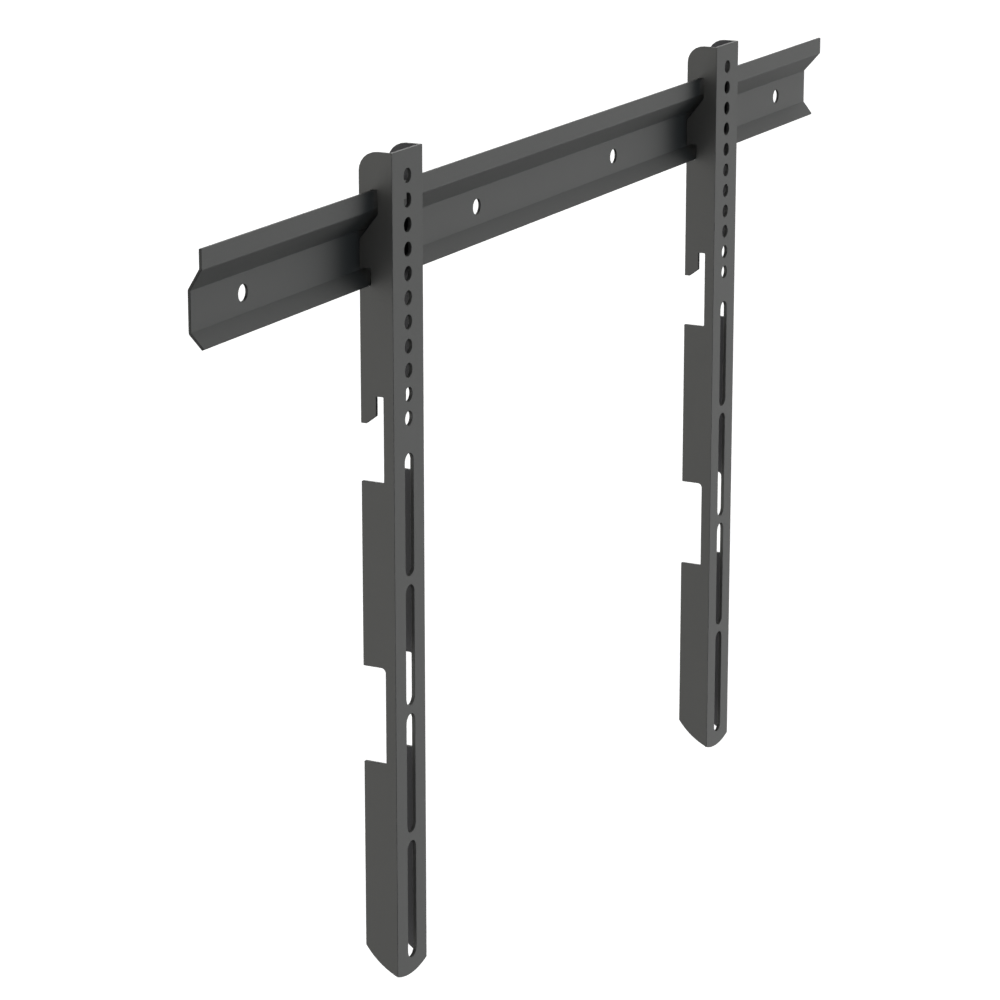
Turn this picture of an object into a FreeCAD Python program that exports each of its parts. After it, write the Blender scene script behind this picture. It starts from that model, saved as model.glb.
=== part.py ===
# Fixed wall bracket for a flat screen: one folded wall rail and two folded arms that hook over it.
# Millimetres. X runs along the rail to the right, Y points into the wall and Z is up.
# The origin is the middle of the row of wall holes, on the rail's back face.
import FreeCAD, Part
import os

import Sketcher
from FreeCAD import Vector

# Driving dimensions: name, size and what it measures.
SIZES = [
    ("rail_length", 743.5, "plate of the rail, along the wall"),
    ("rail_sheet", 1.5, "sheet that the rail is folded from"),
    ("rail_bend_radius", 0.5, "inside radius of the rail's folds"),
    ("plate_height", 20.0, "flat plate between the two front folds"),
    ("web_rise", 11.4, "height of the slanted web"),
    ("flange_step", 9.0, "hook flange forward of the plate"),
    ("flange_height", 9.9, "upright hook flange above its fold"),
    ("flange_overhang", 4.1, "hook flange beyond each end of the plate"),
    ("lip_step", 6.2, "lower lip forward of the plate"),
    ("lip_drop", 7.1, "lower lip below its fold"),
    ("lip_inset", 1.0, "lower lip short of each end of the plate"),
    ("wall_hole_bore", 8.5, "holes for the wall screws"),
    ("outer_hole_spacing", 650.0, "between the two outer wall holes"),
    ("inner_hole_spacing", 170.0, "between the two inner wall holes"),
    ("arm_spacing", 400.0, "between the middles of the two arms"),
    ("arm_shift", 2.8, "pair of arms to the right of the wall holes' middle"),
    ("arm_length", 440.5, "arm from its top to its lowest point"),
    ("arm_width", 32.0, "outside width of the arm"),
    ("arm_depth", 19.0, "front of the arm to the back edges of its flanges"),
    ("arm_sheet", 2.0, "sheet that the arms are folded from"),
    ("arm_bend_radius", 0.3, "inside radius of the arm's folds"),
    ("arm_corner_radius", 0.6, "outside radius of the arm's folds, which are pressed nearly sharp"),
    ("top_corner_radius", 10.0, "upper back corners of the flanges"),
    ("end_rise", 18.2, "lower back corners of the flanges above the lowest point"),
    ("screen_hole_bore", 7.6, "round holes for the screen's bolts"),
    ("screen_hole_drop", 13.5, "first round hole below the arm's top"),
    ("screen_hole_pitch", 12.5, "from one round hole to the next"),
    ("screen_hole_count", 11, "round holes in an arm"),
    ("slot_width", 9.0, "slots for the screen's bolts"),
    ("slot_length", 65.2, "slot from end to end"),
    ("slot_drop", 156.8, "upper end of the first slot below the arm's top"),
    ("slot_pitch", 69.9, "from one slot to the next"),
    ("slot_count", 4, "slots in an arm"),
    ("hook_drop", 18.9, "arm's top to the top of the hook cut-out"),
    ("hook_finger_length", 14.5, "finger that reaches down behind the hook flange"),
    ("hang_clearance", 0.2, "hook cut-out above the rail's upper edge"),
    ("bearing_clearance", 0.2, "flanges' back edges to the rail's plate"),
    ("finger_clearance", 0.5, "finger to the back of the hook flange"),
    ("finger_web_clearance", 1.0, "finger's slanted tip to the rail's web"),
    ("hook_front_clearance", 1.9, "cut-out in front of the hook flange"),
    ("hook_web_clearance", 2.9, "cut-out in front of the rail's web"),
    ("lip_front_clearance", 0.5, "lip cut-out in front of the lip"),
    ("lip_upper_clearance", 1.2, "lip cut-out above the lip's fold"),
    ("lip_lower_clearance", 0.5, "lip cut-out below the lip"),
    ("notch_depth", 13.0, "lower notches into the flanges' back edges"),
    ("lower_hook_drop", 124.8, "arm's top to the top of the lower hook notch"),
    ("lower_hook_height", 45.0, "lower hook notch from top to bottom"),
    ("lower_slot_width", 4.2, "narrow upper part of the lower hook notch"),
    ("lower_finger_length", 14.6, "lower finger at the back edge"),
    ("lower_finger_chamfer", 4.3, "height of the lower finger's slanted tip"),
    ("lower_finger_tip", 3.1, "flat end of the lower finger"),
    ("plain_notch_drop", 268.3, "arm's top to the top of the plain notch"),
    ("plain_notch_height", 51.9, "plain notch from top to bottom"),
    ("plain_notch_radius", 2.5, "upper front corner of the plain notch"),
    ("notch_radius", 1.0, "lower front corners of the lower notches"),
    ("cut_margin", 2.0, "cuts run past the sheet by this much"),
]

# Edges count as lying on a line when they are this near to it, and as parallel below this sine.
NEAR_LINE = 1e-4
PARALLEL_SINE = 1e-6

# Lengths that follow from the sizes, as formulas that the sketches share.
FLANGE_FRONT = "(-Size.rail_sheet - Size.flange_step)"
UPPER_FOLD = "(Size.plate_height / 2)"
FLANGE_FOLD = f"({UPPER_FOLD} + Size.web_rise)"
RAIL_TOP = f"({FLANGE_FOLD} + Size.flange_height)"
LIP_FRONT_Z = "(-Size.plate_height / 2 - Size.lip_drop)"
LIP_LENGTH = "sqrt(Size.lip_step ^ 2 + Size.lip_drop ^ 2)"
WEB_LENGTH = "sqrt(Size.flange_step ^ 2 + Size.web_rise ^ 2)"

# The arm's own frame has its top at Z = 0, the back edges of its flanges at Y = 0 and its middle at X = 0.
ARM_Y = "(-Size.rail_sheet - Size.bearing_clearance)"
ARM_TOP = f"({RAIL_TOP} + Size.hang_clearance + Size.hook_drop)"
WEB_SLOPE = "(Size.web_rise / Size.flange_step)"
WEB_FOOT = f"({UPPER_FOLD} - {ARM_TOP} + Size.bearing_clearance * {WEB_SLOPE})"
WEB_OFFSET = f"({WEB_LENGTH} / Size.flange_step)"
HOOK_FRONT = "(Size.flange_step - Size.bearing_clearance + Size.hook_front_clearance)"
FINGER_FRONT = "(Size.flange_step - Size.bearing_clearance - Size.rail_sheet - Size.finger_clearance)"
FINGER_FOOT = f"({WEB_FOOT} + (Size.rail_sheet + Size.finger_web_clearance) * {WEB_OFFSET})"
FINGER_END = "(-Size.hook_drop - Size.hook_finger_length)"
HOOK_FOOT = f"({WEB_FOOT} - Size.hook_web_clearance * {WEB_OFFSET})"
LIP_LOW = f"({LIP_FRONT_Z} - Size.rail_sheet * Size.lip_step / {LIP_LENGTH})"

# The arm's blank ends in one arc, measured round the fold from the middle of the front to the back edge.
FOLD_START = "(Size.arm_depth - Size.arm_corner_radius)"
END_REACH = f"(Size.arm_width / 2 + {FOLD_START})"
END_RADIUS = f"(({END_REACH} ^ 2 + Size.end_rise ^ 2) / (2 * Size.end_rise))"


def make_size_sheet(doc):
    """Write the driving dimensions into a sheet, one row each, with the name as the alias."""
    sheet = doc.addObject("Spreadsheet::Sheet", "Size")
    for row, (alias, value, meaning) in enumerate(SIZES, start=1):
        sheet.set(f"A{row}", alias)
        sheet.set(f"B{row}", str(value))
        sheet.setAlias(f"B{row}", alias)
        sheet.set(f"C{row}", meaning)
    doc.recompute()
    return sheet


def origin_feature(body, role):
    """Find one of the body's own origin planes or axes."""
    return next(item for item in body.Origin.OriginFeatures if item.Role == role)


def new_sketch(body, name, plane):
    sketch = body.newObject("Sketcher::SketchObject", name)
    sketch.AttachmentSupport = [(origin_feature(body, plane), "")]
    sketch.MapMode = "FlatFace"
    return sketch


def bind_constraint(sketch, constraint, name, formula):
    """Add a named dimension to the sketch and tie it to the sheet."""
    index = sketch.addConstraint(constraint)
    sketch.renameConstraint(index, name)
    sketch.setExpression(f"Constraints.{name}", formula)


def pin_point(sketch, geometry, end, name, across, up):
    """Hold a point of the sketch at two formulas from the sketch's origin."""
    for kind, label, formula in (("DistanceX", "across", across), ("DistanceY", "up", up)):
        value = sketch.evalExpression(formula)
        constraint = Sketcher.Constraint(kind, -1, 1, geometry, end, value)
        bind_constraint(sketch, constraint, f"{label}_{name}", formula)


def draw_outline(sketch, corners):
    """Draw a closed outline of straight lines through corners that are given as pairs of formulas."""
    points = []
    for across, up in corners:
        points.append(Vector(sketch.evalExpression(across), sketch.evalExpression(up), 0))
    first = sketch.GeometryCount
    count = len(points)
    for index in range(count):
        sketch.addGeometry(Part.LineSegment(points[index], points[(index + 1) % count]), False)
    for index in range(count):
        follower = first + (index + 1) % count
        sketch.addConstraint(Sketcher.Constraint("Coincident", first + index, 2, follower, 1))
    for index, (across, up) in enumerate(corners):
        pin_point(sketch, first + index, 1, f"corner_{first + index}", across, up)


def draw_circle(sketch, name, across, up, diameter):
    """Draw a circle with its middle and its diameter tied to the sheet."""
    centre = Vector(sketch.evalExpression(across), sketch.evalExpression(up), 0)
    radius = sketch.evalExpression(diameter) / 2
    circle = sketch.addGeometry(Part.Circle(centre, Vector(0, 0, 1), radius), False)
    pin_point(sketch, circle, 3, name, across, up)
    bind_constraint(sketch, Sketcher.Constraint("Diameter", circle, 2 * radius), f"diameter_{name}", diameter)


def pad_sketch(body, sketch, name, length, symmetric=False, reversed_pad=False):
    pad = body.newObject("PartDesign::Pad", name)
    pad.Profile = sketch
    pad.setExpression("Length", length)
    pad.SideType = "Symmetric" if symmetric else "One side"
    pad.Reversed = reversed_pad
    body.Document.recompute()
    return pad


def cut_through(body, sketch, name):
    """Cut the sketch right through the body, both ways, and make sure that it removed something."""
    before = body.Shape.Volume
    pocket = body.newObject("PartDesign::Pocket", name)
    pocket.Profile = sketch
    pocket.Type = "ThroughAll"
    pocket.SideType = "Symmetric"
    body.Document.recompute()
    if body.Shape.Volume >= before:
        raise RuntimeError(f"{body.Label}: {name} cut nothing")
    return pocket


def edges_along(shape, direction, points):
    """Names of the straight edges that run along a direction through one of the points."""
    found = []
    for number, edge in enumerate(shape.Edges, start=1):
        if not isinstance(edge.Curve, Part.Line):
            continue
        if edge.tangentAt(edge.FirstParameter).cross(direction).Length > PARALLEL_SINE:
            continue
        start = edge.Vertexes[0].Point
        if any((start - point).cross(direction).Length < NEAR_LINE for point in points):
            found.append(f"Edge{number}")
    return found


def sketch_corners(sketch, numbers):
    """Corners of an outline, as points in the body's frame."""
    return [sketch.Placement.multVec(sketch.Geometry[number].StartPoint) for number in numbers]


def round_edges(body, name, direction, points, radius):
    """Fillet the edges that run along a direction through the points."""
    base = body.Tip
    fillet = body.newObject("PartDesign::Fillet", name)
    fillet.Base = (base, edges_along(base.Shape, direction, points))
    fillet.setExpression("Radius", radius)
    body.Document.recompute()
    return fillet


def make_wall_rail(doc):
    """The rail: one sheet with three folds, trimmed at both ends and punched with four wall holes."""
    body = doc.addObject("PartDesign::Body", "wall_rail")
    section = new_sketch(body, "rail_section", "YZ_Plane")
    draw_rail_section(section)
    pad_sketch(body, section, "folded_sheet", "Size.rail_length + 2 * Size.flange_overhang", symmetric=True)

    # Corners 1 to 3 are the front folds and 6 to 8 the back folds, counted round the section.
    outside = sketch_corners(section, (1, 6, 7))
    inside = sketch_corners(section, (2, 3, 8))
    round_edges(body, "outside_folds", Vector(1, 0, 0), outside, "Size.rail_bend_radius + Size.rail_sheet")
    round_edges(body, "inside_folds", Vector(1, 0, 0), inside, "Size.rail_bend_radius")

    plate_end = "Size.rail_length / 2"
    flange_end = f"({plate_end} + Size.flange_overhang)"
    lip_end = f"({plate_end} - Size.lip_inset)"
    past_end = f"({flange_end} + Size.cut_margin)"
    below_lip = f"({LIP_LOW} - Size.cut_margin)"
    end_sketch = new_sketch(body, "end_outline", "XZ_Plane")
    draw_outline(end_sketch, [
        (flange_end, FLANGE_FOLD),
        (plate_end, UPPER_FOLD),
        (plate_end, "-Size.plate_height / 2"),
        (lip_end, LIP_FRONT_Z),
        (lip_end, below_lip),
        (past_end, below_lip),
        (past_end, FLANGE_FOLD),
    ])
    end_cut = cut_through(body, end_sketch, "end_trim")

    hole_sketch = new_sketch(body, "wall_hole_centres", "XZ_Plane")
    draw_circle(hole_sketch, "outer", "Size.outer_hole_spacing / 2", "0", "Size.wall_hole_bore")
    draw_circle(hole_sketch, "inner", "Size.inner_hole_spacing / 2", "0", "Size.wall_hole_bore")
    holes = cut_through(body, hole_sketch, "wall_holes")

    mirrored = body.newObject("PartDesign::Mirrored", "other_half")
    mirrored.Originals = [end_cut, holes]
    mirrored.MirrorPlane = (origin_feature(body, "YZ_Plane"), [""])
    body.Tip = mirrored
    doc.recompute()
    return body


def draw_rail_section(sketch):
    """Front line of the sheet by its folds, and the back line parallel to it, one sheet behind."""
    front = [
        (FLANGE_FRONT, RAIL_TOP),
        (FLANGE_FRONT, FLANGE_FOLD),
        ("-Size.rail_sheet", UPPER_FOLD),
        ("-Size.rail_sheet", "-Size.plate_height / 2"),
        ("-Size.rail_sheet - Size.lip_step", LIP_FRONT_Z),
    ]
    sheet = sketch.evalExpression("Size.rail_sheet")
    points = [Vector(sketch.evalExpression(across), sketch.evalExpression(up), 0) for across, up in front]
    points += [point + Vector(sheet, 0, 0) for point in reversed(points)]
    count = len(points)
    for index in range(count):
        sketch.addGeometry(Part.LineSegment(points[index], points[(index + 1) % count]), False)
    for index in range(count):
        sketch.addConstraint(Sketcher.Constraint("Coincident", index, 2, (index + 1) % count, 1))
    for index, (across, up) in enumerate(front):
        pin_point(sketch, index, 1, f"fold_{index}", across, up)
    last = len(front) - 1
    for line in range(last):
        back_line = count - 2 - line
        sketch.addConstraint(Sketcher.Constraint("Parallel", line, back_line))
        distance = Sketcher.Constraint("Distance", back_line, 2, line, sheet)
        bind_constraint(sketch, distance, f"sheet_{line}", "Size.rail_sheet")
    sketch.addConstraint(Sketcher.Constraint("Perpendicular", last - 1, last))
    sketch.addConstraint(Sketcher.Constraint("Horizontal", count - 1))


def make_arm(doc, name, side):
    """An arm: a channel that opens to the wall, with hook cut-outs, holes, slots and a rounded end."""
    body = doc.addObject("PartDesign::Body", name)
    section = new_sketch(body, f"{name}_section", "XY_Plane")
    half, depth, sheet = "Size.arm_width / 2", "Size.arm_depth", "Size.arm_sheet"
    draw_outline(section, [
        (f"-{half}", "0"),
        (f"-{half}", f"-{depth}"),
        (half, f"-{depth}"),
        (half, "0"),
        (f"{half} - {sheet}", "0"),
        (f"{half} - {sheet}", f"{sheet} - {depth}"),
        (f"{sheet} - {half}", f"{sheet} - {depth}"),
        (f"{sheet} - {half}", "0"),
    ])
    pad_sketch(body, section, f"{name}_channel", "Size.arm_length", reversed_pad=True)
    upright = Vector(0, 0, 1)
    round_edges(body, f"{name}_outside_folds", upright, sketch_corners(section, (1, 2)), "Size.arm_corner_radius")
    round_edges(body, f"{name}_inside_folds", upright, sketch_corners(section, (5, 6)), "Size.arm_bend_radius")

    sideways = Vector(1, 0, 0)
    round_edges(body, f"{name}_top_corners", sideways, [Vector(0, 0, 0)], "Size.top_corner_radius")
    cut_rounded_end(body, name)
    cut_upper_hook(body, name)
    cut_lower_notches(body, name)
    cut_screen_holes(body, name)
    cut_slots(body, name)

    body.setExpression("Placement.Base.x", f"Size.arm_shift + {side} * Size.arm_spacing / 2")
    body.setExpression("Placement.Base.y", ARM_Y)
    body.setExpression("Placement.Base.z", ARM_TOP)
    doc.recompute()
    return body


def draw_arc_cut(sketch, middle, left, right, low):
    """Draw the area below an arc: the arc's middle lies straight above the arm's lowest point."""
    radius = sketch.evalExpression(END_RADIUS)
    centre = Vector(sketch.evalExpression(middle), sketch.evalExpression(f"{END_RADIUS} - Size.arm_length"), 0)
    sides = [sketch.evalExpression(left), sketch.evalExpression(right)]
    drops = [(radius ** 2 - (side - centre.x) ** 2) ** 0.5 for side in sides]
    on_arc = [Vector(side, centre.y - drop, 0) for side, drop in zip(sides, drops)]
    floor = sketch.evalExpression(low)
    on_floor = [Vector(side, floor, 0) for side in sides]
    bottom = centre - Vector(0, radius, 0)
    if not sides[0] < centre.x < sides[1]:
        share = (sides[0] + sides[1]) / 2
        bottom = Vector(share, centre.y - (radius ** 2 - (share - centre.x) ** 2) ** 0.5, 0)
    sketch.addGeometry(Part.Arc(on_arc[0], bottom, on_arc[1]), False)
    sketch.addGeometry(Part.LineSegment(on_arc[1], on_floor[1]), False)
    sketch.addGeometry(Part.LineSegment(on_floor[1], on_floor[0]), False)
    sketch.addGeometry(Part.LineSegment(on_floor[0], on_arc[0]), False)
    sketch.addConstraint(Sketcher.Constraint("Coincident", 0, 2, 1, 1))
    sketch.addConstraint(Sketcher.Constraint("Coincident", 1, 2, 2, 1))
    sketch.addConstraint(Sketcher.Constraint("Coincident", 2, 2, 3, 1))
    sketch.addConstraint(Sketcher.Constraint("Coincident", 3, 2, 0, 1))
    sketch.addConstraint(Sketcher.Constraint("Vertical", 1))
    sketch.addConstraint(Sketcher.Constraint("Vertical", 3))
    pin_point(sketch, 0, 3, "arc_middle", middle, f"{END_RADIUS} - Size.arm_length")
    bind_constraint(sketch, Sketcher.Constraint("Radius", 0, radius), "arc_radius", END_RADIUS)
    pin_point(sketch, 2, 1, "floor_right", right, low)
    pin_point(sketch, 2, 2, "floor_left", left, low)


def cut_rounded_end(body, name):
    """Round the lower end: the blank ends in one arc that runs on round both folds."""
    low = "-Size.arm_length - Size.cut_margin"
    front = new_sketch(body, f"{name}_front_end", "XZ_Plane")
    past_side = "Size.arm_width / 2 + Size.cut_margin"
    draw_arc_cut(front, "0", f"-({past_side})", past_side, low)
    cut_through(body, front, f"{name}_front_end_cut")
    sides = new_sketch(body, f"{name}_flange_end", "YZ_Plane")
    draw_arc_cut(sides, f"-{END_REACH}", f"-{FOLD_START}", "Size.cut_margin", low)
    cut_through(body, sides, f"{name}_flange_end_cut")


def cut_upper_hook(body, name):
    """Cut the hook that hangs on the rail, and the recess for the rail's lower lip."""
    sketch = new_sketch(body, f"{name}_hook", "YZ_Plane")
    finger_tip = f"(({FINGER_END} - {FINGER_FOOT}) / {WEB_SLOPE})"
    draw_outline(sketch, [
        ("Size.cut_margin", f"{HOOK_FOOT} - Size.cut_margin * {WEB_SLOPE}"),
        (f"-{HOOK_FRONT}", f"{HOOK_FOOT} + {HOOK_FRONT} * {WEB_SLOPE}"),
        (f"-{HOOK_FRONT}", "-Size.hook_drop"),
        (f"-{FINGER_FRONT}", "-Size.hook_drop"),
        (f"-{FINGER_FRONT}", f"{FINGER_FOOT} + {FINGER_FRONT} * {WEB_SLOPE}"),
        (f"-{finger_tip}", FINGER_END),
        ("Size.cut_margin", FINGER_END),
    ])
    recess_front = "Size.bearing_clearance - Size.lip_step - Size.lip_front_clearance"
    recess_top = f"Size.lip_upper_clearance - Size.plate_height / 2 - {ARM_TOP}"
    recess_low = f"{LIP_LOW} - Size.lip_lower_clearance - {ARM_TOP}"
    draw_outline(sketch, [
        ("Size.cut_margin", recess_top),
        (recess_front, recess_top),
        (recess_front, recess_low),
        ("Size.cut_margin", recess_low),
    ])
    cut_through(body, sketch, f"{name}_hook_cut")


def cut_lower_notches(body, name):
    """Cut the second hook notch and the plain notch below it."""
    sketch = new_sketch(body, f"{name}_notches", "YZ_Plane")
    lower_finger_front = "(Size.notch_depth - Size.lower_slot_width)"
    finger_end = "-Size.lower_hook_drop - Size.lower_finger_length"
    hook_low = "-Size.lower_hook_drop - Size.lower_hook_height"
    draw_outline(sketch, [
        ("Size.cut_margin", finger_end),
        ("-Size.lower_finger_tip", finger_end),
        (f"-{lower_finger_front}", f"{finger_end} + Size.lower_finger_chamfer"),
        (f"-{lower_finger_front}", "-Size.lower_hook_drop"),
        ("-Size.notch_depth", "-Size.lower_hook_drop"),
        ("-Size.notch_depth", hook_low),
        ("Size.cut_margin", hook_low),
    ])
    plain_low = "-Size.plain_notch_drop - Size.plain_notch_height"
    draw_outline(sketch, [
        ("Size.cut_margin", "-Size.plain_notch_drop"),
        ("-Size.notch_depth", "-Size.plain_notch_drop"),
        ("-Size.notch_depth", plain_low),
        ("Size.cut_margin", plain_low),
    ])
    cut_through(body, sketch, f"{name}_notch_cut")

    # Corner 5 is the hook notch's lower front corner, 8 and 9 the plain notch's front corners.
    sideways = Vector(1, 0, 0)
    round_edges(body, f"{name}_notch_corners", sideways, sketch_corners(sketch, (5, 9)), "Size.notch_radius")
    round_edges(body, f"{name}_relief_corner", sideways, sketch_corners(sketch, (8,)), "Size.plain_notch_radius")


def repeat_down(body, feature, name, pitch, count):
    """Repeat a cut down the arm at an even pitch."""
    pattern = body.newObject("PartDesign::LinearPattern", name)
    pattern.Originals = [feature]
    pattern.Direction = (origin_feature(body, "Z_Axis"), [""])
    pattern.Reversed = True
    pattern.setExpression("Length", f"{pitch} * ({count} - 1)")
    pattern.setExpression("Occurrences", count)
    body.Tip = pattern
    body.Document.recompute()


def cut_screen_holes(body, name):
    sketch = new_sketch(body, f"{name}_first_hole", "XZ_Plane")
    draw_circle(sketch, "hole", "0", "-Size.screen_hole_drop", "Size.screen_hole_bore")
    hole = cut_through(body, sketch, f"{name}_hole")
    repeat_down(body, hole, f"{name}_hole_row", "Size.screen_hole_pitch", "Size.screen_hole_count")


def cut_slots(body, name):
    """Cut the first slot, with a half circle at each end, and repeat it down the arm."""
    sketch = new_sketch(body, f"{name}_first_slot", "XZ_Plane")
    radius = sketch.evalExpression("Size.slot_width / 2")
    upper = "-Size.slot_drop - Size.slot_width / 2"
    lower = "-Size.slot_drop - Size.slot_length + Size.slot_width / 2"
    high, low = sketch.evalExpression(upper), sketch.evalExpression(lower)
    crown = Part.Arc(Vector(radius, high, 0), Vector(0, high + radius, 0), Vector(-radius, high, 0))
    bowl = Part.Arc(Vector(-radius, low, 0), Vector(0, low - radius, 0), Vector(radius, low, 0))
    left_side = Part.LineSegment(Vector(-radius, high, 0), Vector(-radius, low, 0))
    right_side = Part.LineSegment(Vector(radius, low, 0), Vector(radius, high, 0))
    outline = [crown, left_side, bowl, right_side]
    for curve in outline:
        sketch.addGeometry(curve, False)
    for index in range(len(outline)):
        follower = (index + 1) % len(outline)
        sketch.addConstraint(Sketcher.Constraint("Tangent", index, 2, follower, 1))
    pin_point(sketch, 0, 3, "upper_end", "0", upper)
    pin_point(sketch, 2, 3, "lower_end", "0", lower)
    sketch.addConstraint(Sketcher.Constraint("Equal", 0, 2))
    bind_constraint(sketch, Sketcher.Constraint("Radius", 0, radius), "end_radius", "Size.slot_width / 2")
    slot = cut_through(body, sketch, f"{name}_slot")
    repeat_down(body, slot, f"{name}_slot_row", "Size.slot_pitch", "Size.slot_count")


def check_document(doc, bodies):
    """Stop when a feature failed or a piece isn't one sound solid."""
    for item in doc.Objects:
        if "Invalid" in item.State or "Error" in item.State:
            raise RuntimeError(f"{item.Name} failed: {item.State}")
    for body in bodies:
        shape = body.Shape
        if shape.isNull() or not shape.isValid() or len(shape.Solids) != 1:
            raise RuntimeError(f"{body.Label} is not one valid solid")


def main():
    doc = FreeCAD.newDocument("wall_bracket")
    make_size_sheet(doc)
    bodies = [
        make_wall_rail(doc),
        make_arm(doc, "left_arm", -1),
        make_arm(doc, "right_arm", 1),
    ]
    doc.recompute()
    check_document(doc, bodies)
    os.makedirs("parts", exist_ok=True)
    for body in bodies:
        body.Shape.exportStep(f"parts/{body.Label}.step")
        box = body.Shape.BoundBox
        low = [round(value, 2) for value in (box.XMin, box.YMin, box.ZMin)]
        high = [round(value, 2) for value in (box.XMax, box.YMax, box.ZMax)]
        print(body.Label, "from", low, "to", high, "volume", round(body.Shape.Volume, 1))


main()
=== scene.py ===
import math

import bpy
import numpy as np
from mathutils import Euler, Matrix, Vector
from mathutils.geometry import delaunay_2d_cdt


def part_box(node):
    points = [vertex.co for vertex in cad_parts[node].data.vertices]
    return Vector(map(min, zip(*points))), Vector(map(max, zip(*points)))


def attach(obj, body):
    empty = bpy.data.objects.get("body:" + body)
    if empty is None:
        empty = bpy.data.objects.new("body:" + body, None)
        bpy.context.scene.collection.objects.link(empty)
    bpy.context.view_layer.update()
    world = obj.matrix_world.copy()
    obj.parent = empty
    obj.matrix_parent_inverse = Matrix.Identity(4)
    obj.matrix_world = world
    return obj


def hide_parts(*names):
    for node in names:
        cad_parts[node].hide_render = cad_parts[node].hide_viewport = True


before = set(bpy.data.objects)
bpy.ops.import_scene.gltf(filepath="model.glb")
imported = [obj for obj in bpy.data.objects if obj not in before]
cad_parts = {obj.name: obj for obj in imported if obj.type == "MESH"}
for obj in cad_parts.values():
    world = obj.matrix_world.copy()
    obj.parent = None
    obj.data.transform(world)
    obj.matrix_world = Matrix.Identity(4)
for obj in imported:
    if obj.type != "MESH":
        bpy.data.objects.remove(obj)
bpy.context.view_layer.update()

# Lengths of the sheets are in millimetres, like a workshop drawing, and MM turns them into metres.
MM = 0.001

# The coated edges of every cut are rounded this much, and sharp corners of an outline a little more.
EDGE_RADIUS = 0.25
CORNER_RADIUS = 0.35

# Faces across a rounded edge and across a fold.
EDGE_STEPS = 3
BEND_STEPS = 6

# Arcs are divided by this angle, corners into at least so many steps, and holes twice as finely.
ARC_STEP = math.radians(15)
FEWEST_CORNER_STEPS = 3
HOLE_HALF_STEPS = 2 * math.ceil(math.pi / ARC_STEP)

# Spacing of mesh points along the folds and over the flats, and the share of it that is kept from an edge.
FOLD_SPACING = 2.5
FLAT_SPACING = 6.0
EDGE_GAP = 0.25

# Points of the blank that are nearer than this are one point.
MERGE_DISTANCE = 1e-6


class Section:
    """A folded sheet's section: flats joined by bends. The front line is on the right of the way it runs.

    A corner radius is for folds that are pressed sharper outside than the inside radius and the sheet
    make them.
    """

    def __init__(self, corners, inside_radius, sheet, corner_radius=None):
        self.sheet, self.inside_radius = sheet, inside_radius
        outside = inside_radius + sheet
        # An outside corner is sharper than the inside radius and the sheet make it by this much.
        self.slack = 0.0 if corner_radius is None else outside - corner_radius
        points = [np.array(corner, float) for corner in corners]
        ways = [(b - a) / np.linalg.norm(b - a) for a, b in zip(points, points[1:])]
        turns = [math.atan2(a[0] * b[1] - a[1] * b[0], a @ b) for a, b in zip(ways, ways[1:])]
        radii = [outside - self.slack if turn > 0 else inside_radius for turn in turns]
        trims = [0.0] + [r * math.tan(abs(turn) / 2) for r, turn in zip(radii, turns)] + [0.0]
        # A part is its distance, length, start point and way there, and a bend's turn and radius.
        self.parts = []
        distance = 0.0
        for index, way in enumerate(ways):
            start = points[index] + way * trims[index]
            length = float((points[index + 1] - way * trims[index + 1] - start) @ way)
            self.parts.append((distance, length, start, way, 0.0, 0.0))
            distance += length
            if index < len(turns):
                start = start + way * length
                length = radii[index] * abs(turns[index])
                self.parts.append((distance, length, start, way, turns[index], radii[index]))
                distance += length
        self.length = distance

    def locate(self, distances):
        """Points of the front line, its tangents and its outward normals, at distances along it."""
        distances = np.asarray(distances, float)
        points, tangents = np.zeros((len(distances), 2)), np.zeros((len(distances), 2))
        for number, (begin, length, start, way, turn, radius) in enumerate(self.parts):
            low = -np.inf if number == 0 else begin
            high = np.inf if number == len(self.parts) - 1 else begin + length
            chosen = (distances >= low) & (distances <= high)
            along = distances[chosen] - begin
            if turn == 0.0:
                points[chosen] = start + along[:, None] * way
                tangents[chosen] = way
                continue
            side = math.copysign(1.0, turn) * np.array([-way[1], way[0]])
            sine, cosine = np.sin(along / radius)[:, None], np.cos(along / radius)[:, None]
            points[chosen] = start + radius * (sine * way + (1 - cosine) * side)
            tangents[chosen] = cosine * way + sine * side
        normals = np.stack([tangents[:, 1], -tangents[:, 0]], axis=1)
        return points, tangents, normals

    def behind(self, distances):
        """Points of the back line behind the front line's, and the front side's normals there."""
        points, _, normals = self.locate(distances)
        points = points - normals * self.sheet
        for begin, length, start, way, turn, _ in self.parts[1::2]:
            pull = self.pull(turn)
            share = (distances - begin + pull) / (length + 2 * pull)
            chosen = (share > 0) & (share < 1) & (pull > 0)
            angle = abs(turn) * share[chosen][:, None]
            side = np.array([-way[1], way[0]])
            normals[chosen] = np.sin(angle) * way - np.cos(angle) * side
            centre = start - pull * way + (self.sheet + self.inside_radius) * side
            points[chosen] = centre + self.inside_radius * normals[chosen]
        return points, normals

    def pull(self, turn):
        """How far before a fold's front its back already bends."""
        return self.slack * math.tan(abs(turn) / 2)

    def flat(self, number):
        """Distances where a flat begins and ends."""
        begin, length = self.parts[2 * number][:2]
        return begin, begin + length

    def fold_lines(self):
        """Distances of the lines that each bend is divided by."""
        lines = []
        for begin, length, _, _, turn, _ in self.parts[1::2]:
            lines.extend(np.linspace(begin, begin + length, BEND_STEPS + 1))
            if self.slack > 0:
                lines.extend([begin - self.pull(turn), begin + length + self.pull(turn)])
        return sorted(lines)

    def distance_on_flat(self, number, point):
        """Distance of a point that lies beside a flat."""
        begin, _, start, way = self.parts[2 * number][:4]
        return begin + float((np.array(point) - start) @ way)


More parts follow.
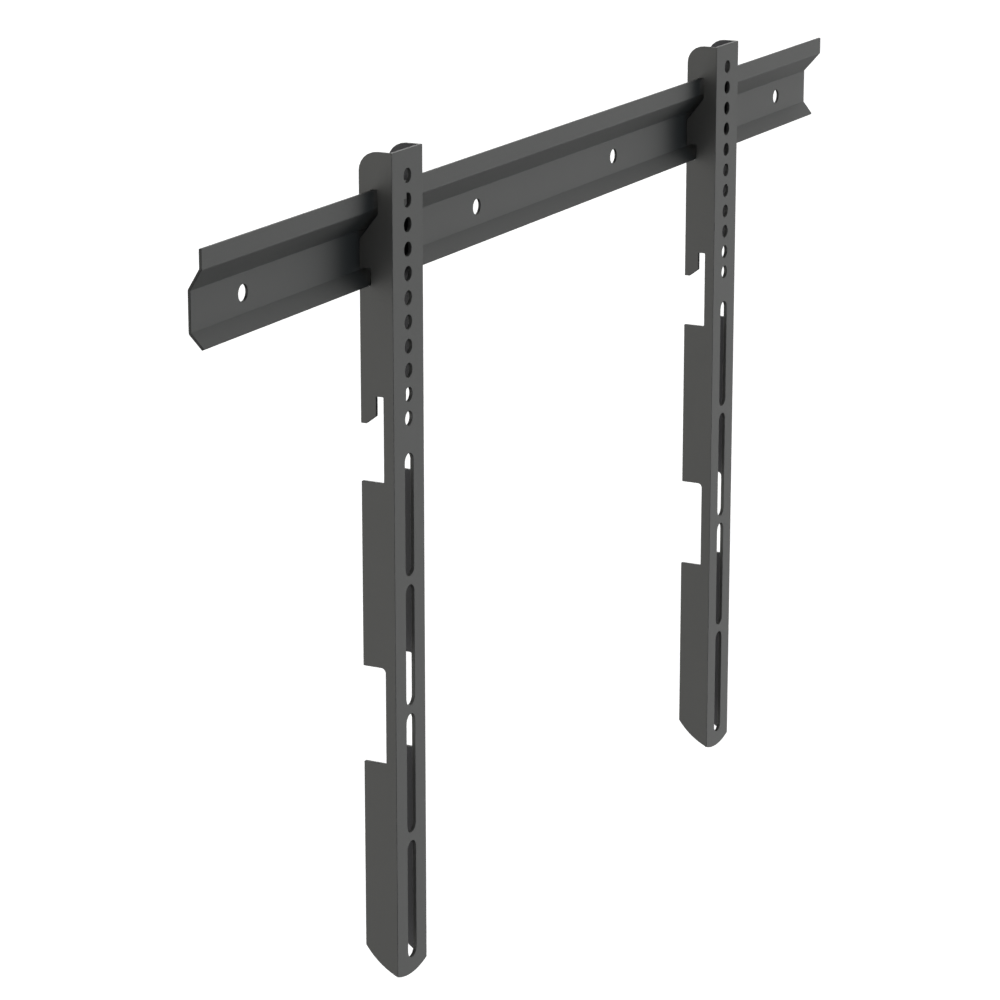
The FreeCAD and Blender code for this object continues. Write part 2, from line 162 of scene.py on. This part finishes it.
def round_corners(corners):
    """Turn an outline's corners, each a point and a radius, into points with the corners rounded."""
    places = [np.array(corner[:2], float) for corner in corners]
    outline = []
    for index, (place, corner) in enumerate(zip(places, corners)):
        radius = corner[2]
        if radius == 0:
            outline.append(place)
            continue
        before, after = places[index - 1] - place, places[(index + 1) % len(places)] - place
        before, after = before / np.linalg.norm(before), after / np.linalg.norm(after)
        half = math.acos(float(np.clip(before @ after, -1, 1))) / 2
        reach = radius / math.tan(half)
        middle = (before + after) / np.linalg.norm(before + after) * radius / math.sin(half)
        start, end = before * reach - middle, after * reach - middle
        sweep = math.pi - 2 * half
        steps = max(FEWEST_CORNER_STEPS, math.ceil(sweep / ARC_STEP))
        for share in np.linspace(0, 1, steps + 1):
            from_start, from_end = math.sin((1 - share) * sweep), math.sin(share * sweep)
            spoke = (from_start * start + from_end * end) / math.sin(sweep)
            outline.append(place + middle + spoke)
    return np.array(outline)


def divide(outline, spacing):
    """Add points so that no stretch of a closed outline is longer than the spacing."""
    points = []
    for index, start in enumerate(outline):
        end = outline[(index + 1) % len(outline)]
        count = max(1, math.ceil(np.linalg.norm(end - start) / spacing))
        points.extend(start + (end - start) * step / count for step in range(count))
    return np.array(points)


def circle(middle, radius):
    """A hole's outline, run clockwise."""
    count = 2 * HOLE_HALF_STEPS
    angles = -2 * math.pi * np.arange(count) / count
    return np.array(middle) + radius * np.stack([np.cos(angles), np.sin(angles)], axis=1)


def slot(middle, radius, length):
    """The outline of a slot along the second direction, run clockwise."""
    angles = math.pi - math.pi * np.arange(HOLE_HALF_STEPS + 1) / HOLE_HALF_STEPS
    crown = radius * np.stack([np.cos(angles), np.sin(angles)], axis=1) + [0, length / 2 - radius]
    return divide(np.array(middle) + np.concatenate([crown, -crown]), FLAT_SPACING)


def inward(loop):
    """Unit normals into the sheet, and how far a corner's point moves for a unit of inset."""
    ahead = np.roll(loop, -1, axis=0) - loop
    ahead /= np.linalg.norm(ahead, axis=1)[:, None]
    behind = np.roll(ahead, 1, axis=0)
    normals = np.stack([-(ahead + behind)[:, 1], (ahead + behind)[:, 0]], axis=1)
    normals /= np.linalg.norm(normals, axis=1)[:, None]
    side = np.stack([-ahead[:, 1], ahead[:, 0]], axis=1)
    return normals, 1 / np.sum(normals * side, axis=1)


def inside(points, loops):
    """Which points lie in the sheet, by counting the edges that a ray crosses."""
    odd = np.zeros(len(points), bool)
    for loop in loops:
        following = np.roll(loop, -1, axis=0)
        for (x0, y0), (x1, y1) in zip(loop, following):
            if y0 == y1:
                continue
            between = (points[:, 1] > min(y0, y1)) & (points[:, 1] <= max(y0, y1))
            crossing = x0 + (points[:, 1] - y0) * (x1 - x0) / (y1 - y0)
            odd ^= between & (points[:, 0] < crossing)
    return odd


def far_from(points, others, gap):
    """Which points keep a gap from all the others."""
    keep = np.ones(len(points), bool)
    for place in others:
        keep &= np.abs(points - place).max(axis=1) > gap
    return keep


def fill_points(section, rings):
    """Points that fill the flat blank: rows along the fold lines and a loose grid over the flats."""
    edge = np.concatenate(rings)
    low, high = edge.min(axis=0), edge.max(axis=0)
    rows = np.arange(low[1] + FOLD_SPACING / 2, high[1], FOLD_SPACING)
    folds = np.array([(line, row) for line in section.fold_lines() for row in rows])
    folds = folds[inside(folds, rings) & far_from(folds, edge, FOLD_SPACING * EDGE_GAP)]
    grid = []
    for number in range(len(section.parts) // 2 + 1):
        begin, end = section.flat(number)
        columns = max(1, round((end - begin) / FLAT_SPACING))
        for column in (np.arange(columns) + 0.5) / columns:
            grid.extend((begin + column * (end - begin), row) for row in rows[::2])
    grid = np.array(grid)
    grid = grid[inside(grid, rings) & far_from(grid, edge, FLAT_SPACING * EDGE_GAP)]
    return np.concatenate([folds, grid])


def triangulate(rings, extra):
    """Triangles over the blank between its rings, through the extra points, counter-clockwise."""
    edges, first = [], 0
    for ring in rings:
        count = len(ring)
        edges.extend((first + index, first + (index + 1) % count) for index in range(count))
        first += count
    points = np.concatenate(rings + [extra])
    whole_hull = 0
    made = delaunay_2d_cdt([Vector(point) for point in points], edges, [], whole_hull, MERGE_DISTANCE)
    made_faces, first_origins = made[2], [origins[0] for origins in made[3]]
    triangles = np.array(first_origins)[np.array(made_faces)]
    middles = points[triangles].mean(axis=1)
    triangles = triangles[inside(middles, rings)]
    a, b, c = (points[triangles[:, corner]] for corner in range(3))
    area = (b[:, 0] - a[:, 0]) * (c[:, 1] - a[:, 1]) - (b[:, 1] - a[:, 1]) * (c[:, 0] - a[:, 0])
    triangles[area < 0] = triangles[area < 0][:, ::-1]
    return points, triangles


def edge_profile(sheet):
    """Across a cut edge from front to back: inset, depth, and the normal's share of face and side."""
    levels = []
    for step in range(EDGE_STEPS + 1):
        angle = math.pi / 2 * step / EDGE_STEPS
        levels.append((EDGE_RADIUS * (1 - math.sin(angle)), EDGE_RADIUS * (1 - math.cos(angle)),
                       math.cos(angle), math.sin(angle)))
    back = [(inset, sheet - depth, -face, side) for inset, depth, face, side in reversed(levels)]
    return levels + back


def rim_faces(loops, levels):
    """Faces round each outline, from one level of the edge profile to the next."""
    ring_count = sum(len(loop) for loop in loops)
    faces, first = [], 0
    for loop in loops:
        count = len(loop)
        for level in range(levels - 1):
            here, below = first + level * ring_count, first + (level + 1) * ring_count
            for index in range(count):
                follower = (index + 1) % count
                faces.append((here + index, below + index, below + follower, here + follower))
        first += count
    return faces


def make_piece(name, vertices, normals, faces, back_count):
    """Make an object from points in millimetres. Its last faces, the sheet's back, wear its second coat."""
    mesh = bpy.data.meshes.new(name)
    mesh.from_pydata((vertices * MM).tolist(), [], faces)
    mesh.update()
    mesh.polygons.foreach_set("use_smooth", [True] * len(mesh.polygons))
    mesh.polygons.foreach_set("material_index", [0] * (len(faces) - back_count) + [1] * back_count)
    mesh.normals_split_custom_set_from_vertices([Vector(normal).normalized() for normal in normals])
    piece = bpy.data.objects.new(name, mesh)
    bpy.context.scene.collection.objects.link(piece)
    return piece


def fold_sheet(name, section, loops, place):
    """Build a folded sheet from the outlines of its flat blank.

    The place puts folded points in the bracket's frame.
    """
    directions = [inward(loop) for loop in loops]

    def folded(points, depth):
        front, tangents, normals = section.locate(points[:, 0])
        back, back_normals = section.behind(points[:, 0])
        share = depth / section.sheet
        outward = normals if share < 0.5 else back_normals
        return place(front + (back - front) * share, points[:, 1]), tangents, outward

    origin = place(np.zeros((1, 2)), np.zeros(1))

    def turned(vectors, along):
        return place(vectors, along) - origin

    profile = edge_profile(section.sheet)
    face_inset = profile[0][0]
    rings = [loop + normal * (reach * face_inset)[:, None]
             for loop, (normal, reach) in zip(loops, directions)]
    extra = fill_points(section, rings)
    blank, triangles = triangulate(rings, extra)
    ring_count = len(blank) - len(extra)

    vertices, normals = [], []
    for inset, depth, face_share, side_share in profile:
        for loop, (normal, reach) in zip(loops, directions):
            flat_points = loop + normal * (reach * inset)[:, None]
            spots, tangents, outward = folded(flat_points, depth)
            vertices.append(spots)
            across = -normal[:, :1] * tangents * side_share + outward * face_share
            normals.append(turned(across, -normal[:, 1] * side_share))
    for depth, sign in ((0.0, 1.0), (section.sheet, -1.0)):
        spots, _, outward = folded(extra, depth)
        vertices.append(spots)
        normals.append(turned(outward * sign, np.zeros(len(extra))))
    vertices, normals = np.concatenate(vertices), np.concatenate(normals)

    # The filling points follow the rings of all levels, first the front's and then the back's.
    last_ring = (len(profile) - 1) * ring_count
    on_ring = triangles < ring_count
    front = np.where(on_ring, triangles, triangles + last_ring)
    back = np.where(on_ring, triangles, triangles + len(extra)) + last_ring
    faces = rim_faces(loops, len(profile))
    faces.extend(map(tuple, front.tolist()))
    faces.extend(map(tuple, back[:, ::-1].tolist()))
    return make_piece(name, vertices, normals, faces, len(back))


# The rail's sheet, from its hook flange down to its lower lip.
RAIL_SHEET = 1.5
RAIL_BEND = 0.5
RAIL_LENGTH = 743.5
PLATE_HEIGHT = 20.0
WEB_RISE = 11.4
FLANGE_STEP = 9.0
FLANGE_HEIGHT = 9.9
FLANGE_OVERHANG = 4.1
LIP_STEP = 6.2
LIP_DROP = 7.1
LIP_INSET = 1.0
WALL_HOLE_BORE = 8.5
WALL_HOLE_SPACINGS = (650.0, 170.0)


def rail_end(z):
    """How far the rail reaches from its middle at a height of its front line."""
    upper, lower = PLATE_HEIGHT / 2, -PLATE_HEIGHT / 2
    heights = [lower - LIP_DROP, lower, upper, upper + WEB_RISE]
    plate = RAIL_LENGTH / 2
    return np.interp(z, heights, [plate - LIP_INSET, plate, plate, plate + FLANGE_OVERHANG])


def make_rail():
    """The wall rail: upright hook flange, slanted web, plate with the wall holes, and slanted lip."""
    upper, lower = PLATE_HEIGHT / 2, -PLATE_HEIGHT / 2
    front = -RAIL_SHEET - FLANGE_STEP
    section = Section([
        (front, upper + WEB_RISE + FLANGE_HEIGHT),
        (front, upper + WEB_RISE),
        (-RAIL_SHEET, upper),
        (-RAIL_SHEET, lower),
        (-RAIL_SHEET - LIP_STEP, lower - LIP_DROP),
    ], RAIL_BEND, RAIL_SHEET)
    lines = np.array([0.0] + section.fold_lines() + [section.length])
    ends = rail_end(section.locate(lines)[0][:, 1])
    radii = np.where((lines == 0) | (lines == section.length), CORNER_RADIUS, 0.0)
    left = [(s, -x, r) for s, x, r in zip(lines, ends, radii)]
    right = [(s, x, r) for s, x, r in zip(lines[::-1], ends[::-1], radii[::-1])]
    loops = [divide(round_corners(left + right), FLAT_SPACING)]
    plate_middle = section.distance_on_flat(2, (-RAIL_SHEET, 0.0))
    holes = sorted(side * spacing / 2 for spacing in WALL_HOLE_SPACINGS for side in (-1, 1))
    loops += [circle((plate_middle, x), WALL_HOLE_BORE / 2) for x in holes]

    def place(spots, along):
        return np.stack([along, spots[:, 0], spots[:, 1]], axis=1)

    return fold_sheet("rail_sheet", section, loops, place)


# The arm's sheet. Heights are below the arm's top, and depths are from the flanges' back edges.
ARM_SHEET = 2.0
ARM_BEND = 0.3
ARM_CORNER_RADIUS = 0.3
ARM_WIDTH = 32.0
ARM_DEPTH = 19.0
ARM_LENGTH = 440.5
TOP_CORNER_RADIUS = 10.0
END_RISE = 18.2
SCREEN_HOLE_BORE = 7.6
SCREEN_HOLE_DROP = 13.5
SCREEN_HOLE_PITCH = 12.5
SCREEN_HOLE_COUNT = 11
SLOT_WIDTH = 9.0
SLOT_LENGTH = 65.2
SLOT_DROP = 156.8
SLOT_PITCH = 69.9
SLOT_COUNT = 4

# Points across each flat at the arm's lower end: flange, front, flange.
END_POINTS = (9, 17, 9)

# The hook cut-out: its drop, its finger, and the clearances at which it follows the rail's section.
HOOK_DROP = 18.9
FINGER_LENGTH = 14.5
HANG_CLEARANCE = 0.2
BEARING_CLEARANCE = 0.2
FINGER_CLEARANCE = 0.5
FINGER_WEB_CLEARANCE = 1.0
HOOK_FRONT_CLEARANCE = 1.9
HOOK_WEB_CLEARANCE = 2.9
LIP_FRONT_CLEARANCE = 0.5
LIP_UPPER_CLEARANCE = 1.2
LIP_LOWER_CLEARANCE = 0.1

# No light shows past the rail in the photograph. The recess for the lip has a slanted corner for it, and
# the coat builds up at the hook's top.
RECESS_CHAMFER = 1.4
COAT_BUILD = 0.1

# The two lower notches.
NOTCH_DEPTH = 13.0
LOWER_HOOK_DROP = 124.8
LOWER_HOOK_HEIGHT = 45.0
LOWER_SLOT_WIDTH = 4.2
LOWER_FINGER_LENGTH = 14.6
LOWER_FINGER_CHAMFER = 4.3
LOWER_FINGER_TIP = 3.1
PLAIN_NOTCH_DROP = 268.3
PLAIN_NOTCH_HEIGHT = 51.9
PLAIN_NOTCH_RADIUS = 2.5
NOTCH_RADIUS = 1.0


def flange_cuts():
    """Corners of the cut-outs in a flange's back edge, from the top down: depth, height and radius."""
    sharp = CORNER_RADIUS
    rail_top = PLATE_HEIGHT / 2 + WEB_RISE + FLANGE_HEIGHT
    arm_top = rail_top + HANG_CLEARANCE + HOOK_DROP
    slope = WEB_RISE / FLANGE_STEP
    per_offset = math.hypot(FLANGE_STEP, WEB_RISE) / FLANGE_STEP
    web_foot = PLATE_HEIGHT / 2 - arm_top + BEARING_CLEARANCE * slope
    finger_front = FLANGE_STEP - BEARING_CLEARANCE - RAIL_SHEET - FINGER_CLEARANCE
    finger_foot = web_foot + (RAIL_SHEET + FINGER_WEB_CLEARANCE) * per_offset
    finger_end = -HOOK_DROP - FINGER_LENGTH
    finger_tip = (finger_end - finger_foot) / slope
    hook_front = FLANGE_STEP - BEARING_CLEARANCE + HOOK_FRONT_CLEARANCE
    hook_top = -HOOK_DROP - COAT_BUILD
    hook_foot = web_foot - HOOK_WEB_CLEARANCE * per_offset
    lip_low = -PLATE_HEIGHT / 2 - LIP_DROP - RAIL_SHEET * LIP_STEP / math.hypot(LIP_STEP, LIP_DROP)
    recess = LIP_STEP + LIP_FRONT_CLEARANCE - BEARING_CLEARANCE
    recess_top = LIP_UPPER_CLEARANCE - PLATE_HEIGHT / 2 - arm_top
    recess_low = lip_low - LIP_LOWER_CLEARANCE - arm_top
    lower_front = NOTCH_DEPTH - LOWER_SLOT_WIDTH
    lower_end = -LOWER_HOOK_DROP - LOWER_FINGER_LENGTH
    hook_low = -LOWER_HOOK_DROP - LOWER_HOOK_HEIGHT
    plain_low = -PLAIN_NOTCH_DROP - PLAIN_NOTCH_HEIGHT
    return [
        (0, finger_end, sharp),
        (finger_tip, finger_end, sharp),
        (finger_front, finger_foot + finger_front * slope, sharp),
        (finger_front, hook_top, sharp),
        (hook_front, hook_top, sharp),
        (hook_front, hook_foot + hook_front * slope, sharp),
        (0, hook_foot, sharp),
        (0, recess_top, sharp),
        (recess, recess_top, sharp),
        (recess, recess_low + RECESS_CHAMFER, sharp),
        (recess - RECESS_CHAMFER, recess_low, sharp),
        (0, recess_low, sharp),
        (0, lower_end, sharp),
        (LOWER_FINGER_TIP, lower_end, sharp),
        (lower_front, lower_end + LOWER_FINGER_CHAMFER, sharp),
        (lower_front, -LOWER_HOOK_DROP, sharp),
        (NOTCH_DEPTH, -LOWER_HOOK_DROP, sharp),
        (NOTCH_DEPTH, hook_low, NOTCH_RADIUS),
        (0, hook_low, sharp),
        (0, -PLAIN_NOTCH_DROP, sharp),
        (NOTCH_DEPTH, -PLAIN_NOTCH_DROP, PLAIN_NOTCH_RADIUS),
        (NOTCH_DEPTH, plain_low, NOTCH_RADIUS),
        (0, plain_low, sharp),
    ]


def end_height(section, distances):
    """The lower end's arc, measured round the folds from the middle of the front to the back edges."""
    fold = ARM_DEPTH - ARM_CORNER_RADIUS
    reach = ARM_WIDTH / 2 + fold
    radius = (reach ** 2 + END_RISE ** 2) / (2 * END_RISE)
    points = section.locate(distances)[0]
    on_flange = points[:, 1] > -fold
    across = np.where(on_flange, reach + points[:, 1], np.abs(points[:, 0]))
    return radius - ARM_LENGTH - np.sqrt(radius ** 2 - across ** 2)


def make_arm(name, node):
    """An arm at its node's place: a channel with holes, slots, hook cut-outs and a round lower end."""
    half = ARM_WIDTH / 2
    corners = [(-half, 0), (-half, -ARM_DEPTH), (half, -ARM_DEPTH), (half, 0)]
    section = Section(corners, ARM_BEND, ARM_SHEET, ARM_CORNER_RADIUS)
    left_side = [(0.0, 0.0, TOP_CORNER_RADIUS)] + flange_cuts()
    steps = [np.linspace(*section.flat(number), count) for number, count in enumerate(END_POINTS)]
    bottom = np.unique(np.concatenate(steps + [section.fold_lines()]))
    heights = end_height(section, bottom)
    radii = np.where((bottom == 0) | (bottom == section.length), CORNER_RADIUS, 0.0)
    right_side = [(section.length - s, z, r) for s, z, r in reversed(left_side)]
    top = [(s, 0.0, 0.0) for s in reversed(section.fold_lines())]
    corners = left_side + list(zip(bottom, heights, radii)) + right_side + top
    loops = [divide(round_corners(corners), FLAT_SPACING)]
    middle = section.length / 2
    for number in range(SCREEN_HOLE_COUNT):
        z = -SCREEN_HOLE_DROP - number * SCREEN_HOLE_PITCH
        loops.append(circle((middle, z), SCREEN_HOLE_BORE / 2))
    for number in range(SLOT_COUNT):
        z = -SLOT_DROP - SLOT_LENGTH / 2 - number * SLOT_PITCH
        loops.append(slot((middle, z), SLOT_WIDTH / 2, SLOT_LENGTH))
    low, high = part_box(node)
    x, y, z = (low.x + high.x) / 2 / MM, high.y / MM, high.z / MM

    def place(spots, along):
        return np.stack([spots[:, 0] + x, spots[:, 1] + y, along + z], axis=1)

    return fold_sheet(name, section, loops, place)


def add_node(tree, kind, inputs=None, operation=None):
    """Add a node. Its inputs, by name or number, are linked to sockets or set to plain values."""
    node = tree.nodes.new(kind)
    if operation:
        node.operation = operation
    for key, value in (inputs or {}).items():
        if isinstance(value, bpy.types.NodeSocket):
            tree.links.new(value, node.inputs[key])
        else:
            node.inputs[key].default_value = value
    return node


# Painted shade: the coat is darker and a little bluer inside the arms' channels, and nearly black on the
# rail's cut ends.
COAT = (0.075, 0.075, 0.0715)
# A darker, bluer copy of the coat: painted shade for the insides of the arms' channels.
CHANNEL_PAINTED_SHADE_COAT = (0.036, 0.036, 0.041)
# Painted shade: the share of the coat's colour left on faces that look along the wall.
CUT_END_PAINTED_SHADE = 0.15

# A face takes on the painted shade of a cut end while its normal's share along the wall grows through this
# range.
PAINTED_END_SHADE_RANGE = (0.5, 0.8)

# The coat's noises, each as its scale per metre and its detail, and what they steer.
CLOUDS = (28.0, 3.0)
PEEL = (1100.0, 2.0)
SPECKS = (3200.0, 1.0)
SHADE_RANGE = (0.94, 1.06)
ROUGHNESS_RANGE = (0.5, 0.62)
PEEL_STRENGTH = 0.25
PEEL_HEIGHT = 0.00003


def powder_coat(name, colour, painted_end_shade=1.0):
    """Satin powder coat: a fine orange peel, soft clouds in its shade, and specks in its gloss.

    Faces that look along the wall, such as the rail's cut ends, get painted shade: the last value scales
    their colour.
    """
    material = bpy.data.materials.new(name)
    material.use_nodes = True
    tree = material.node_tree
    place = add_node(tree, "ShaderNodeTexCoord").outputs["Object"]
    normal = add_node(tree, "ShaderNodeNewGeometry").outputs["True Normal"]

    def noise(scale, detail):
        inputs = {"Vector": place, "Scale": scale, "Detail": detail}
        return add_node(tree, "ShaderNodeTexNoise", inputs).outputs["Fac"]

    def spread(value, to_range, from_range=(0.0, 1.0)):
        inputs = {"Value": value, "From Min": from_range[0], "From Max": from_range[1],
                  "To Min": to_range[0], "To Max": to_range[1]}
        return add_node(tree, "ShaderNodeMapRange", inputs).outputs["Result"]

    # Painted shade: the colour of faces whose normal looks along the wall is scaled down by the value given
    # for ends.
    split = add_node(tree, "ShaderNodeSeparateXYZ", {"Vector": normal})
    along_wall = add_node(tree, "ShaderNodeMath", {0: split.outputs["X"]}, "ABSOLUTE")
    ends = spread(along_wall.outputs["Value"], (1.0, painted_end_shade), PAINTED_END_SHADE_RANGE)
    clouds = spread(noise(*CLOUDS), SHADE_RANGE)
    shade = add_node(tree, "ShaderNodeMath", {0: clouds, 1: ends}, "MULTIPLY")
    tint = add_node(tree, "ShaderNodeVectorMath", {0: colour, "Scale": shade.outputs["Value"]}, "SCALE")
    peel = {"Height": noise(*PEEL), "Strength": PEEL_STRENGTH, "Distance": PEEL_HEIGHT}
    bump = add_node(tree, "ShaderNodeBump", peel)

    shader = tree.nodes["Principled BSDF"]
    shader.inputs["Specular IOR Level"].default_value = 0.5
    tree.links.new(tint.outputs["Vector"], shader.inputs["Base Color"])
    tree.links.new(spread(noise(*SPECKS), ROUGHNESS_RANGE), shader.inputs["Roughness"])
    tree.links.new(bump.outputs["Normal"], shader.inputs["Normal"])
    return material


def finish_piece(piece, node, front_coat, back_coat):
    """Coat a sheet's front and back, and let it stand for its node."""
    piece.data.materials.append(front_coat)
    piece.data.materials.append(back_coat)
    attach(piece, "root")
    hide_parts(node)


# The floor's place and half width in metres, and its finish.
FLOOR_Z = -1.1
FLOOR_REACH = 30.0
FLOOR_FINISH = {
    "Base Color": (0.94, 0.94, 0.94, 1.0),
    "Roughness": 0.9,
    "Specular IOR Level": 0.1,
    "Emission Color": (1.0, 1.0, 1.0, 1.0),
    "Emission Strength": 0.6,
}


def make_floor():
    """A plain pale floor well below the bracket, which hangs free as it does on a wall."""
    mesh = bpy.data.meshes.new("floor")
    sides = ((-1, -1), (1, -1), (1, 1), (-1, 1))
    corners = [(x * FLOOR_REACH, y * FLOOR_REACH, FLOOR_Z) for x, y in sides]
    mesh.from_pydata(corners, [], [(0, 1, 2, 3)])
    floor = bpy.data.objects.new("floor", mesh)
    bpy.context.scene.collection.objects.link(floor)
    material = bpy.data.materials.new("pale_floor")
    material.use_nodes = True
    shader = material.node_tree.nodes["Principled BSDF"]
    for socket, value in FLOOR_FINISH.items():
        shader.inputs[socket].default_value = value
    mesh.materials.append(material)
    floor.visible_diffuse = floor.visible_glossy = floor.visible_shadow = False


# Wide soft lights round the bracket: the way each lies from it, and its colour times its strength.
SOFT_LIGHTS = [
    ((0.5, -0.3, 0.8), (3.85, 3.9, 3.85)),  # key light, high on the right
    ((0.8, -0.5, -0.3), (2.5, 2.5, 2.45)),  # low in front on the right
    ((0.8, -0.5, 0.3), (0.35, 0.35, 0.35)),  # high in front on the right
    ((0.0, -1.0, 0.0), (0.7, 0.85, 1.0)),  # cool fill from the room
    ((-1.0, 0.0, 0.0), (2.5, 2.5, 2.5)),  # along the wall from the left
    ((-0.8, 0.5, -0.3), (2.3, 2.3, 2.25)),  # behind on the left, low
    ((-0.8, 0.5, 0.3), (0.9, 0.9, 0.85)),  # behind on the left, high
    ((1.0, 0.0, 0.0), (0.45, 0.45, 0.45)),  # along the wall from the right
    ((0.85, 0.0, 0.5), (0.35, 0.35, 0.35)),  # above the rail's right end
    ((0.85, 0.0, -0.5), (0.25, 0.25, 0.25)),  # below the rail's right end
    ((0.85, 0.45, 0.25), (2.6, 2.6, 2.6)),  # behind on the right, a gleam on the edges that look up
    ((0.0, 1.0, 0.0), (3.0, 3.0, 3.0)),  # from the wall, for the backs that only other views show
]
LIGHT_FALLOFF = 16.0


def light_studio():
    """A white room for the camera, lit by the wide soft lights, which fade out evenly to their sides."""
    world = bpy.data.worlds.new("studio")
    world.use_nodes = True
    tree = world.node_tree
    way = add_node(tree, "ShaderNodeTexCoord").outputs["Generated"]
    total = (0.0, 0.0, 0.0)
    for direction, colour in SOFT_LIGHTS:
        ways = {0: way, 1: Vector(direction).normalized()}
        towards = add_node(tree, "ShaderNodeVectorMath", ways, "DOT_PRODUCT").outputs["Value"]
        facing = add_node(tree, "ShaderNodeMath", {0: towards, 1: 0.0}, "MAXIMUM").outputs["Value"]
        faded = add_node(tree, "ShaderNodeMath", {0: facing, 1: LIGHT_FALLOFF}, "POWER").outputs["Value"]
        glow = add_node(tree, "ShaderNodeVectorMath", {0: colour, "Scale": faded}, "SCALE")
        terms = {0: total, 1: glow.outputs["Vector"]}
        total = add_node(tree, "ShaderNodeVectorMath", terms, "ADD").outputs["Vector"]
    lit = tree.nodes["Background"]
    tree.links.new(total, lit.inputs["Color"])
    white = add_node(tree, "ShaderNodeBackground", {"Color": (1.0, 1.0, 1.0, 1.0)})
    camera_ray = add_node(tree, "ShaderNodeLightPath").outputs["Is Camera Ray"]
    rooms = {"Fac": camera_ray, 1: lit.outputs["Background"], 2: white.outputs["Background"]}
    seen = add_node(tree, "ShaderNodeMixShader", rooms)
    tree.links.new(seen.outputs["Shader"], tree.nodes["World Output"].inputs["Surface"])
    bpy.context.scene.world = world


# The camera looks down a little. Its heading is to the right of straight at the wall. Its place is in
# metres, and its lens and sensor are in millimetres.
CAMERA_PLACE = (-1.7244, -0.8518, 0.3580)
CAMERA_HEADING = math.radians(62.966)
CAMERA_PITCH = math.radians(14.099)
CAMERA_LENS = 127.363
SENSOR_WIDTH = 36.0
CAMERA_SHIFT = -0.1
VIEW_END = 100.0


def place_camera():
    """A long lens to the left of the bracket and a little above it."""
    data = bpy.data.cameras.new("camera")
    data.sensor_width = SENSOR_WIDTH
    data.lens = CAMERA_LENS
    data.shift_y = CAMERA_SHIFT
    data.clip_end = VIEW_END
    camera = bpy.data.objects.new("camera", data)
    camera.location = CAMERA_PLACE
    camera.rotation_euler = Euler((math.pi / 2 - CAMERA_PITCH, 0.0, -CAMERA_HEADING))
    bpy.context.scene.collection.objects.link(camera)
    bpy.context.scene.camera = camera


coat = powder_coat("powder_coat", COAT)
channel_painted_shade_coat = powder_coat("channel_powder_coat_painted_shade", CHANNEL_PAINTED_SHADE_COAT)
# The rail's coat carries painted shade, nearly black, on the faces that look along the wall, such as its
# cut ends.
rail_coat_with_painted_ends = powder_coat("rail_powder_coat_painted_end_shade", COAT, CUT_END_PAINTED_SHADE)
finish_piece(make_rail(), "wall_rail", rail_coat_with_painted_ends, rail_coat_with_painted_ends)
for side in ("left", "right"):
    arm = make_arm(f"{side}_arm_sheet", f"{side}_arm")
    # The sheet's back, inside the channel, wears the copy of the coat with painted shade.
    finish_piece(arm, f"{side}_arm", coat, channel_painted_shade_coat)
make_floor()
light_studio()
place_camera()
bpy.context.scene.view_settings.view_transform = "Standard"
